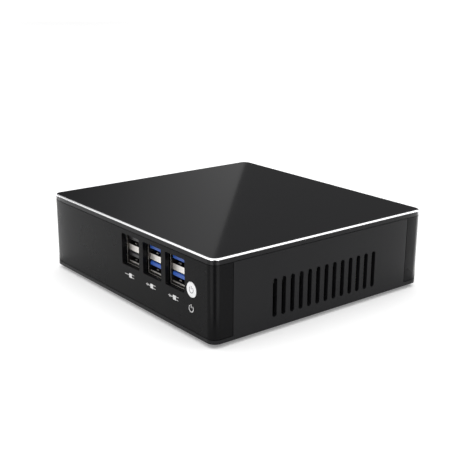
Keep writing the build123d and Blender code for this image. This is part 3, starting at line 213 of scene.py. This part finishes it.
def lined_metal(name, tone, other_tone, stretch, smoothest, roughest, depth=0.1):
    """Bare metal with fine lines along one direction."""
    material = bpy.data.materials.new(name)
    material.use_nodes = True
    tree = material.node_tree
    shader = tree.nodes["Principled BSDF"]
    shader.inputs["Metallic"].default_value = 1.0
    tint = tree.nodes.new("ShaderNodeGroup")
    tint.node_tree = tone_drift
    tint.inputs["Tone"].default_value = (*tone, 1.0)
    tint.inputs["Other Tone"].default_value = (*other_tone, 1.0)
    tint.inputs["Patch Scale"].default_value = 120.0
    lines = tree.nodes.new("ShaderNodeGroup")
    lines.node_tree = tool_lines
    lines.inputs["Stretch"].default_value = stretch
    lines.inputs["Line Depth"].default_value = depth
    lines.inputs["Smoothest"].default_value = smoothest
    lines.inputs["Roughest"].default_value = roughest
    tree.links.new(tint.outputs["Color"], shader.inputs["Base Color"])
    tree.links.new(lines.outputs["Roughness"], shader.inputs["Roughness"])
    tree.links.new(lines.outputs["Normal"], shader.inputs["Normal"])
    return material


cut_aluminium = lined_metal("diamond_cut_aluminium", (0.95, 0.95, 0.96), (0.91, 0.91, 0.93),
                            (300.0, 300.0, 9000.0), 0.16, 0.30, depth=0.06)
dress(cut_aluminium, "trim_ring")

# ---------------------------------------------------------------------------------------
# Top plate. Black acrylic polished to a mirror, bonded into the trim ring. Handling
# leaves a very slight haze on it, which only shows in its gloss.
# ---------------------------------------------------------------------------------------

plate_gloss = grained("piano_black_plate", (0.0095, 0.0095, 0.0105), (0.0105, 0.0105, 0.0115), 0.035, 0.075,
                      scale=400.0, depth=0.008, specular=0.5)
dress(plate_gloss, "top_plate")

# ---------------------------------------------------------------------------------------
# Feet, nuts and screws. Soft rubber feet, black oxide case screws, zinc plated nuts and
# drive bracket, and nickel plated screws inside.
# ---------------------------------------------------------------------------------------

foot_rubber = grained("foot_rubber", (0.018, 0.018, 0.018), (0.028, 0.028, 0.028), 0.72, 0.88,
                      scale=1500.0, depth=0.45, specular=0.3)
dress(foot_rubber, "rubber_feet")

black_oxide = grained("black_oxide_steel", (0.03, 0.03, 0.032), (0.05, 0.05, 0.052), 0.3, 0.42,
                      scale=1200.0, depth=0.1, metal=0.8)
dress(black_oxide, "case_screws")

zinc = lined_metal("zinc_plated_steel", (0.62, 0.62, 0.60), (0.52, 0.53, 0.53),
                   (700.0, 700.0, 2500.0), 0.25, 0.42)
dress(zinc, "vesa_nuts", "drive_bracket")

nickel_screw = lined_metal("nickel_screw", (0.70, 0.69, 0.66), (0.60, 0.59, 0.56),
                           (1500.0, 1500.0, 500.0), 0.2, 0.35)
dress(nickel_screw, "board_screws", "heatsink_screws", "fan_screws", "bracket_screws", "module_fixings")

# ---------------------------------------------------------------------------------------
# Port connectors. Tin and nickel plated shells with moulded tongues: black in the slow
# pair, blue in the fast ones. The contacts have a gold flash.
# ---------------------------------------------------------------------------------------

plated_shell = lined_metal("plated_port_shell", (0.93, 0.90, 0.86), (0.87, 0.84, 0.80),
                           (2500.0, 600.0, 600.0), 0.34, 0.50)
dress(plated_shell, "display_shells", "lan_jack", "dc_pin")


# Painted shade: the dark tone that shell faces take as they turn away from the mouth, from fully plated at
# FACES_THE_MOUTH to fully dark at TURNED_AWAY.
PAINTED_WALL_SHADE = (0.05, 0.047, 0.044)
FACES_THE_MOUTH = -0.8
TURNED_AWAY = -0.3


def shell_with_painted_wall_shade(name):
    """Plated shell in its own bright tone where it faces the mouth, on edges and springs, with painted shade
    on its walls, which darken as they turn away from the mouth.
    """
    material = lined_metal(name, (0.93, 0.90, 0.86), (0.87, 0.84, 0.80),
                           (2500.0, 600.0, 600.0), 0.40, 0.55)
    tree = material.node_tree
    shader = tree.nodes["Principled BSDF"]
    bright = shader.inputs["Base Color"].links[0].from_socket
    place = tree.nodes.new("ShaderNodeTexCoord")
    split = tree.nodes.new("ShaderNodeSeparateXYZ")
    shade_by_facing = tree.nodes.new("ShaderNodeMapRange")
    shade_by_facing.inputs["From Min"].default_value = FACES_THE_MOUTH
    shade_by_facing.inputs["From Max"].default_value = TURNED_AWAY
    # Painted shade on the walls, mixed over the plated tone by which way each face turns.
    wall_shade_mix = tree.nodes.new("ShaderNodeMix")
    wall_shade_mix.data_type = "RGBA"
    wall_shade_mix.inputs[7].default_value = (*PAINTED_WALL_SHADE, 1.0)
    tree.links.new(place.outputs["Normal"], split.inputs["Vector"])
    tree.links.new(split.outputs["Y"], shade_by_facing.inputs["Value"])
    tree.links.new(shade_by_facing.outputs["Result"], wall_shade_mix.inputs["Factor"])
    tree.links.new(bright, wall_shade_mix.inputs[6])
    tree.links.new(wall_shade_mix.outputs[2], shader.inputs["Base Color"])
    return material


# The USB shells carry painted shade on their walls.
usb_shell_painted_shade = shell_with_painted_wall_shade("port_shell_painted_wall_shade")
dress(usb_shell_painted_shade, "usb_left_shell", "usb_middle_shell", "usb_right_shell")

tongue_blue = grained("blue_tongue", (0.030, 0.120, 0.52), (0.025, 0.10, 0.45), 0.30, 0.40,
                      scale=2200.0, depth=0.08)
dress(tongue_blue, "usb_middle_insulator", "usb_right_insulator")

tongue_black = grained("black_tongue", (0.014, 0.014, 0.015), (0.020, 0.020, 0.021), 0.25, 0.36,
                       scale=2200.0, depth=0.08)
dress(tongue_black, "usb_left_insulator", "display_tongues")

gold_flash = lined_metal("gold_flash", (0.86, 0.66, 0.30), (0.80, 0.60, 0.27),
                         (900.0, 3000.0, 900.0), 0.18, 0.3)
dress(gold_flash, "usb_left_contacts", "usb_middle_contacts", "usb_right_contacts", "lan_contacts", "aerials")

moulded_black = grained("moulded_black", (0.014, 0.014, 0.014), (0.022, 0.022, 0.022), 0.42, 0.55,
                        scale=1800.0, depth=0.25)
dress(moulded_black, "dc_inlet", "audio_jacks", "button_sleeve", "switch_body", "switch_plunger",
      "memory_socket", "storage_socket", "wireless_socket", "cell_holder", "data_plugs")

# ---------------------------------------------------------------------------------------
# Power button. A silvery white cap that springs back. The grey ring and bar on it are
# printed with the other marks, further down.
# ---------------------------------------------------------------------------------------

button_white = grained("button_silver_white", (0.93, 0.93, 0.94), (0.89, 0.89, 0.90), 0.30, 0.38,
                       scale=3000.0, depth=0.04)
dress(button_white, "power_button")

# ---------------------------------------------------------------------------------------
# Board, chips and modules. Black solder mask over copper tracks, black epoxy packages,
# pressed powder chokes and bright cans.
# ---------------------------------------------------------------------------------------


def solder_mask(name, mask_tone, track_tone):
    """Solder mask with tracks that run under it in straight steps."""
    material = bpy.data.materials.new(name)
    material.use_nodes = True
    tree = material.node_tree
    shader = tree.nodes["Principled BSDF"]
    place = tree.nodes.new("ShaderNodeTexCoord")
    tracks = tree.nodes.new("ShaderNodeTexBrick")
    tracks.inputs["Scale"].default_value = 180.0
    tracks.inputs["Color1"].default_value = (*mask_tone, 1.0)
    tracks.inputs["Color2"].default_value = (*[c * 0.8 for c in mask_tone], 1.0)
    tracks.inputs["Mortar"].default_value = (*track_tone, 1.0)
    tracks.inputs["Mortar Size"].default_value = 0.03
    bump = tree.nodes.new("ShaderNodeBump")
    bump.inputs["Strength"].default_value = 0.3
    bump.inputs["Distance"].default_value = 0.00003
    skin = tree.nodes.new("ShaderNodeGroup")
    skin.node_tree = skin_grain
    skin.inputs["Smoothest"].default_value = 0.22
    skin.inputs["Roughest"].default_value = 0.34
    link = tree.links.new
    link(place.outputs["Object"], tracks.inputs["Vector"])
    link(tracks.outputs["Color"], shader.inputs["Base Color"])
    link(tracks.outputs["Fac"], bump.inputs["Height"])
    link(skin.outputs["Roughness"], shader.inputs["Roughness"])
    link(bump.outputs["Normal"], shader.inputs["Normal"])
    return material


board_mask = solder_mask("black_solder_mask", (0.005, 0.009, 0.008), (0.009, 0.017, 0.014))
dress(board_mask, "motherboard", "memory_module", "storage_module")

chip_epoxy = grained("chip_epoxy", (0.022, 0.022, 0.024), (0.032, 0.032, 0.034), 0.5, 0.62,
                     scale=1500.0, depth=0.2)
dress(chip_epoxy, "processor", "board_chips")

choke_powder = grained("choke_powder", (0.15, 0.15, 0.16), (0.20, 0.20, 0.21), 0.6, 0.75,
                       scale=900.0, depth=0.5)
dress(choke_powder, "power_inductors")

can_metal = lined_metal("bright_can", (0.82, 0.82, 0.83), (0.75, 0.75, 0.76),
                        (500.0, 500.0, 1800.0), 0.16, 0.28)
dress(can_metal, "board_capacitors", "coin_cell", "wireless_card")

spacer_brass = lined_metal("turned_brass", (0.78, 0.58, 0.24), (0.70, 0.51, 0.21),
                           (400.0, 400.0, 4000.0), 0.2, 0.35)
dress(spacer_brass, "board_standoffs")

# ---------------------------------------------------------------------------------------
# Cooling. Extruded and black anodised heatsink with a small black fan set into its fins.
# The fan plugs into a pale nylon header on the board.
# ---------------------------------------------------------------------------------------

extruded = lined_metal("black_anodised_aluminium", (0.028, 0.028, 0.030), (0.020, 0.020, 0.022),
                       (200.0, 3500.0, 3500.0), 0.38, 0.52)
dress(extruded, "heatsink")

fan_plastic = grained("fan_plastic", (0.016, 0.016, 0.017), (0.024, 0.024, 0.025), 0.34, 0.48,
                      scale=1400.0, depth=0.2)
dress(fan_plastic, "fan_frame", "fan_impeller")

header_nylon = grained("header_nylon", (0.72, 0.70, 0.62), (0.66, 0.64, 0.57), 0.45, 0.58,
                       scale=1600.0, depth=0.15)
dress(header_nylon, "fan_header")

# ---------------------------------------------------------------------------------------
# Drive and leads. Satin aluminium drive case, red flat ribbon, thin black leads to the
# aerials and to the fan.
# ---------------------------------------------------------------------------------------

drive_case = lined_metal("drive_case", (0.46, 0.47, 0.49), (0.40, 0.41, 0.43),
                         (3000.0, 300.0, 300.0), 0.3, 0.42)
dress(drive_case, "drive")

ribbon_red = grained("ribbon_jacket", (0.42, 0.025, 0.02), (0.34, 0.02, 0.016), 0.4, 0.5,
                     scale=900.0, depth=0.2)
dress(ribbon_red, "data_ribbon")

lead_jacket = grained("lead_jacket", (0.016, 0.016, 0.016), (0.026, 0.026, 0.026), 0.45, 0.6,
                      scale=1500.0, depth=0.2)
dress(lead_jacket, "aerial_leads", "fan_lead")

# ---------------------------------------------------------------------------------------
# Printed marks. White pad-printed ink on the front bezel: a plug under each pair of
# ports and the usual ring and bar under the button. The cap carries the same ring in grey.
# ---------------------------------------------------------------------------------------

INK = 0.03 * MM
MARK_DROP = 4.2 * MM
MARK_TO_THE_LEFT = 0.5 * MM
PLUG_HEIGHT = 2.1 * MM
PLUG_LENGTH = 2.2 * MM
PLUG_BANDS = 9
PLUG_CORNER = 0.7 * MM
PRONG_REACH = 1.9 * MM
TAIL_REACH = 3.4 * MM
STROKE_WIDTH = 0.26 * MM
SIGN_DROP = 8.25 * MM
SIGN_RADIUS = 1.7 * MM
SIGN_LINE = 0.36 * MM
CAP_SIGN_RADIUS = 1.55 * MM
CAP_SIGN_LINE = 0.34 * MM
TOUCH = 1e-6


def ink(name, tone, other_tone):
    """Dense printed ink, slightly uneven."""
    return grained(name, tone, other_tone, 0.45, 0.6, scale=5000.0, depth=0.1)


white_ink = ink("white_ink", (0.82, 0.82, 0.82), (0.72, 0.72, 0.72))
grey_ink = ink("grey_ink", (0.20, 0.20, 0.22), (0.25, 0.25, 0.27))


def choose(mesh, kind, test):
    """Selects only the vertices, edges or faces whose middle passes a test, in edit mode."""
    bpy.ops.mesh.select_all(action="DESELECT")
    bpy.ops.mesh.select_mode(type=kind)
    shape = bmesh.from_edit_mesh(mesh)
    for part in {"VERT": shape.verts, "EDGE": shape.edges, "FACE": shape.faces}[kind]:
        if kind == "VERT":
            part.select = test(part.co)
        elif kind == "EDGE":
            part.select = test((part.verts[0].co + part.verts[1].co) / 2)
        else:
            part.select = test(part.calc_center_median())
    shape.select_flush_mode()
    bmesh.update_edit_mesh(mesh)


def settle(piece, material, body):
    """Applies a piece's place, gives it its finish and lets it ride."""
    bpy.ops.object.mode_set(mode="OBJECT")
    bpy.ops.object.transform_apply(location=True, rotation=True, scale=True)
    piece.data.materials.clear()
    piece.data.materials.append(material)
    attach(piece, body)
    return piece


def ring_and_bar(name, middle, radius, line, material, body):
    """The power sign: an open ring and a short bar, as a flat printed shape."""
    bpy.ops.object.select_all(action="DESELECT")
    bpy.ops.mesh.primitive_circle_add(vertices=48, radius=radius, location=middle,
                                      rotation=(math.pi / 2, 0, 0))
    piece = bpy.context.object
    piece.name = name
    bpy.ops.object.mode_set(mode="EDIT")
    choose(piece.data, "VERT", lambda p: p.y > radius * 0.75)
    bpy.ops.mesh.delete(type="VERT")
    bpy.ops.mesh.select_all(action="SELECT")
    bpy.ops.mesh.extrude_edges_move()
    inner = (radius - line) / radius
    bpy.ops.transform.resize(value=(inner, 1.0, inner), center_override=middle)
    bpy.ops.mesh.select_all(action="DESELECT")
    bar_middle = Vector(middle) + Vector((0, 0, radius * 0.62))
    bpy.ops.mesh.primitive_plane_add(size=line, location=bar_middle, rotation=(math.pi / 2, 0, 0))
    bpy.ops.transform.resize(value=(1.0, 1.0, radius * 0.95 / line))
    bpy.ops.mesh.select_all(action="SELECT")
    bpy.ops.mesh.extrude_region_move(TRANSFORM_OT_translate={"value": (0, -INK, 0)})
    bpy.ops.mesh.select_all(action="SELECT")
    bpy.ops.mesh.normals_make_consistent(inside=False)
    return settle(piece, material, body)


def plug_mark(name, middle, fast):
    """A small plug lying on its side: body, two prongs and a tail, with two strokes across when fast."""
    height = PLUG_HEIGHT
    length = PLUG_LENGTH
    bpy.ops.object.select_all(action="DESELECT")
    bpy.ops.mesh.primitive_plane_add(size=1.0, location=middle, rotation=(math.pi / 2, 0, 0))
    piece = bpy.context.object
    piece.name = name
    bpy.ops.object.mode_set(mode="EDIT")
    bpy.ops.transform.resize(value=(length, 1.0, height), center_override=middle)
    for side in (-1, 1):
        choose(piece.data, "EDGE", lambda p: abs(p.x - side * length / 2) < TOUCH)
        bpy.ops.mesh.subdivide(number_cuts=PLUG_BANDS - 1)
        bands = (1, 7) if side > 0 else (4,)
        reach = PRONG_REACH if side > 0 else -TAIL_REACH
        band = height / PLUG_BANDS
        picked = [(i + 0.5) * band - height / 2 for i in bands]
        choose(piece.data, "EDGE", lambda p: abs(p.x - side * length / 2) < TOUCH
               and any(abs(p.y - z) < band / 3 for z in picked))
        bpy.ops.mesh.extrude_edges_move(TRANSFORM_OT_translate={"value": (reach, 0, 0)})
    choose(piece.data, "VERT",
           lambda p: abs(p.x + length / 2) < TOUCH and abs(abs(p.y) - height / 2) < TOUCH)
    bpy.ops.mesh.bevel(offset=PLUG_CORNER, segments=6, affect="VERTICES")
    if fast:
        for i in (1, 2):
            bpy.ops.mesh.select_all(action="DESELECT")
            bar = Vector(middle) + Vector((-length / 2 - (0.7 + 0.9 * i) * MM, 0, 0))
            bpy.ops.mesh.primitive_plane_add(size=STROKE_WIDTH, location=bar, rotation=(math.pi / 2, 0, 0))
            bpy.ops.transform.resize(value=(1.0, 1.0, (3.4 + 1.5 * i) / 1.3))
    bpy.ops.mesh.select_all(action="SELECT")
    bpy.ops.mesh.extrude_region_move(TRANSFORM_OT_translate={"value": (0, -INK, 0)})
    bpy.ops.mesh.select_all(action="SELECT")
    bpy.ops.mesh.normals_make_consistent(inside=False)
    return settle(piece, white_ink, "case")


front_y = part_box("front_bezel")[0].y
for side in ("left", "middle", "right"):
    low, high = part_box(f"usb_{side}_shell")
    centre = Vector(((low.x + high.x) / 2 - MARK_TO_THE_LEFT, front_y, low.z - MARK_DROP))
    plug_mark(f"port_mark_{side}", centre, side != "left")

cap_low, cap_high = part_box("power_button")
cap_x = (cap_low.x + cap_high.x) / 2
cap_z = (cap_low.z + cap_high.z) / 2
ring_and_bar("power_mark_printed", (cap_x, front_y, cap_z - SIGN_DROP), SIGN_RADIUS, SIGN_LINE,
             white_ink, "case")
ring_and_bar("power_mark_cap", (cap_x, cap_low.y, cap_z), CAP_SIGN_RADIUS, CAP_SIGN_LINE,
             grey_ink, "button")

# ---------------------------------------------------------------------------------------
# Studio. A pale floor, a soft white dome that is dark near the horizon, and one tall
# card behind the machine whose upright edge is mirrored along the top plate's diagonal.
# ---------------------------------------------------------------------------------------

top_z = cad_high.z

LENS = 67.06
EYE = Vector((0.3294, -0.2621, 0.1505))
HEADING = math.radians(51.18)
TILT = math.radians(17.19)
ROLL = math.radians(0.43)
FLOOR_WIDTH = 12.0
FLOOR_GLOW = 0.24
DOME_STRENGTH = 1.6

bpy.ops.object.camera_add(location=EYE)
camera = bpy.context.object
camera.name = "studio_camera"
right = Vector((math.cos(HEADING), math.sin(HEADING), 0))
ahead = Vector((-math.sin(HEADING) * math.cos(TILT), math.cos(HEADING) * math.cos(TILT), -math.sin(TILT)))
up = right.cross(ahead)
across_frame = right * math.cos(ROLL) + up * math.sin(ROLL)
turn = Matrix((across_frame, across_frame.cross(ahead), -ahead)).transposed().to_4x4()
camera.matrix_world = Matrix.Translation(EYE) @ turn
camera.data.lens = LENS
camera.data.sensor_width = 36.0
camera.data.clip_start = 0.01
camera.data.clip_end = 100.0
bpy.context.scene.camera = camera
bpy.context.scene.view_settings.view_transform = "Standard"

bpy.ops.object.select_all(action="DESELECT")
bpy.ops.mesh.primitive_plane_add(size=FLOOR_WIDTH, location=(0, 0, 0))
floor = bpy.context.object
floor.name = "studio_floor"
floor_paper = grained("floor_paper", (0.86, 0.86, 0.86), (0.84, 0.84, 0.84), 0.85, 0.95,
                      scale=300.0, depth=0.05, specular=0.1)
floor_shader = floor_paper.node_tree.nodes["Principled BSDF"]
floor_shader.inputs["Emission Color"].default_value = (1.0, 1.0, 1.0, 1.0)
floor_shader.inputs["Emission Strength"].default_value = FLOOR_GLOW
floor.data.materials.append(floor_paper)

world = bpy.data.worlds.new("studio_dome")
bpy.context.scene.world = world
world.use_nodes = True
sky = world.node_tree
direction = sky.nodes.new("ShaderNodeTexCoord")
split = sky.nodes.new("ShaderNodeSeparateXYZ")
ramp = sky.nodes.new("ShaderNodeValToRGB")
ramp.color_ramp.elements[0].position = 0.0
ramp.color_ramp.elements[0].color = (0.03, 0.03, 0.03, 1.0)
ramp.color_ramp.elements[1].position = 0.60
ramp.color_ramp.elements[1].color = (1.0, 1.0, 1.0, 1.0)
band = ramp.color_ramp.elements.new(0.36)
band.color = (0.055, 0.055, 0.055, 1.0)
sky.links.new(direction.outputs["Generated"], split.inputs["Vector"])
sky.links.new(split.outputs["Z"], ramp.inputs["Fac"])
background = sky.nodes["Background"]
background.inputs["Strength"].default_value = DOME_STRENGTH
sky.links.new(ramp.outputs["Color"], background.inputs["Color"])
paper = sky.nodes.new("ShaderNodeBackground")
paper.inputs["Color"].default_value = (1.0, 1.0, 1.0, 1.0)
seen = sky.nodes.new("ShaderNodeLightPath")
either = sky.nodes.new("ShaderNodeMixShader")
sky.links.new(seen.outputs["Is Camera Ray"], either.inputs["Fac"])
sky.links.new(background.outputs["Background"], either.inputs[1])
sky.links.new(paper.outputs["Background"], either.inputs[2])
sky.links.new(either.outputs["Shader"], sky.nodes["World Output"].inputs["Surface"])

# The card stands where the eye, mirrored in the plate, looks through the plate's corners
CARD_REACH = 2.6
CARD_WIDTH = 0.9
CARD_BELOW = 0.8
CARD_ABOVE = 0.3
CARD_ENDS = (0.03, 0.24)
CARD_STEPS = ((0.43, 0.04), (0.62, 0.085), (0.80, 0.165), (0.92, 0.215))
mirrored_eye = Vector((EYE.x, EYE.y, 2 * top_z - EYE.z))


def light_only(name, strength):
    """A material that only gives off light, and the node that gives it."""
    material = bpy.data.materials.new(name)
    material.use_nodes = True
    tree = material.node_tree
    tree.nodes.remove(tree.nodes["Principled BSDF"])
    glow = tree.nodes.new("ShaderNodeEmission")
    glow.inputs["Strength"].default_value = strength
    tree.links.new(glow.outputs["Emission"], tree.nodes["Material Output"].inputs["Surface"])
    return material, glow


def mirrored_point(corner):
    """Where the plate's corner is mirrored, a long way behind the machine."""
    ray = (corner - mirrored_eye).normalized()
    return mirrored_eye + ray * CARD_REACH


edge_low = mirrored_point(Vector((cad_low.x, cad_high.y, top_z)))
edge_high = mirrored_point(Vector((cad_high.x, cad_low.y, top_z)))
edge_run = edge_high - edge_low
edge_bottom = edge_low - edge_run * CARD_BELOW
edge_top = edge_high + edge_run * CARD_ABOVE
across = Vector((-right.x, -right.y, 0)) * CARD_WIDTH
bpy.ops.object.select_all(action="DESELECT")
bpy.ops.mesh.primitive_plane_add(size=2.0, location=(0, 0, 0))
card = bpy.context.object
card.name = "studio_card"
corners = (edge_bottom + across, edge_bottom, edge_top + across, edge_top)
for vertex, corner in zip(card.data.vertices, corners):
    vertex.co = corner
card.visible_camera = False
card_light, card_glow = light_only("card_light", 1.0)
lamp_tree = card_light.node_tree
card_map = lamp_tree.nodes.new("ShaderNodeUVMap")
card_split = lamp_tree.nodes.new("ShaderNodeSeparateXYZ")
fade = lamp_tree.nodes.new("ShaderNodeValToRGB")
for stop, level in zip(fade.color_ramp.elements, CARD_ENDS):
    stop.color = (level, level, level, 1.0)
for place_on_card, level in CARD_STEPS:
    fade.color_ramp.elements.new(place_on_card).color = (level, level, level, 1.0)
lamp_tree.links.new(card_map.outputs["UV"], card_split.inputs["Vector"])
lamp_tree.links.new(card_split.outputs["X"], fade.inputs["Fac"])
lamp_tree.links.new(fade.outputs["Color"], card_glow.inputs["Color"])
card.data.materials.append(card_light)

# Two wings are mirrored by the last few millimetres of the front and of the right-hand face.
# A dark flag towards the camera, between two flanks, draws the line down the nearest corner.
# All stand near the case, are set from the camera's heading and show only in gloss.
WING_GAP = 10 * MM
WING_TOP = 40 * MM
WING_LENGTH = 25 * MM
GLOW_WIDTH = 0.5 * MM
FLAG_GAP = 22 * MM
FLAG_WIDTH = 14 * MM
FLANK_WIDTH = 26 * MM
FLANK_START = 0.7
LEFT_GLOW = 5.0
BACK_GLOW = 7.0
FLANK_GLOW = 4.0
FLOOR_CLEARANCE = 0.5 * MM


def wing(name, start, end, strength):
    """An upright board on the floor that shows only in gloss."""
    bpy.ops.object.select_all(action="DESELECT")
    bpy.ops.mesh.primitive_plane_add(size=2.0, location=(0, 0, 0))
    board = bpy.context.object
    board.name = name
    lift = Vector((0, 0, WING_TOP))
    for vertex, corner in zip(board.data.vertices, (start, end, start + lift, end + lift)):
        vertex.co = corner
    board.visible_camera = False
    board.visible_diffuse = False
    board.visible_shadow = False
    board.data.materials.append(light_only(name + "_light", strength)[0])


floor_lift = Vector((0, 0, FLOOR_CLEARANCE))
flat_ahead = Vector((ahead.x, ahead.y, 0)).normalized()
off_front = Vector((flat_ahead.x, -flat_ahead.y, 0))
off_right = Vector((-flat_ahead.x, flat_ahead.y, 0))
left_end = Vector((cad_low.x + GLOW_WIDTH, cad_low.y, 0)) + off_front * WING_GAP + floor_lift
wing("wing_left", left_end, left_end + Vector((off_front.y, -off_front.x, 0)) * WING_LENGTH, LEFT_GLOW)
back_end = Vector((cad_high.x, cad_high.y - GLOW_WIDTH, 0)) + off_right * WING_GAP + floor_lift
wing("wing_back", back_end, back_end + Vector((-off_right.y, off_right.x, 0)) * WING_LENGTH, BACK_GLOW)
near_corner = Vector((cad_high.x, cad_low.y, 0)) + floor_lift
flag_middle = near_corner - flat_ahead * FLAG_GAP
wing("dark_flag", flag_middle - right * FLAG_WIDTH / 2, flag_middle + right * FLAG_WIDTH / 2, 0.0)
for side, name in ((-1, "flank_left"), (1, "flank_right")):
    inner = flag_middle + right * side * FLAG_WIDTH * FLANK_START
    wing(name, inner, inner + right * side * FLANK_WIDTH, FLANK_GLOW)
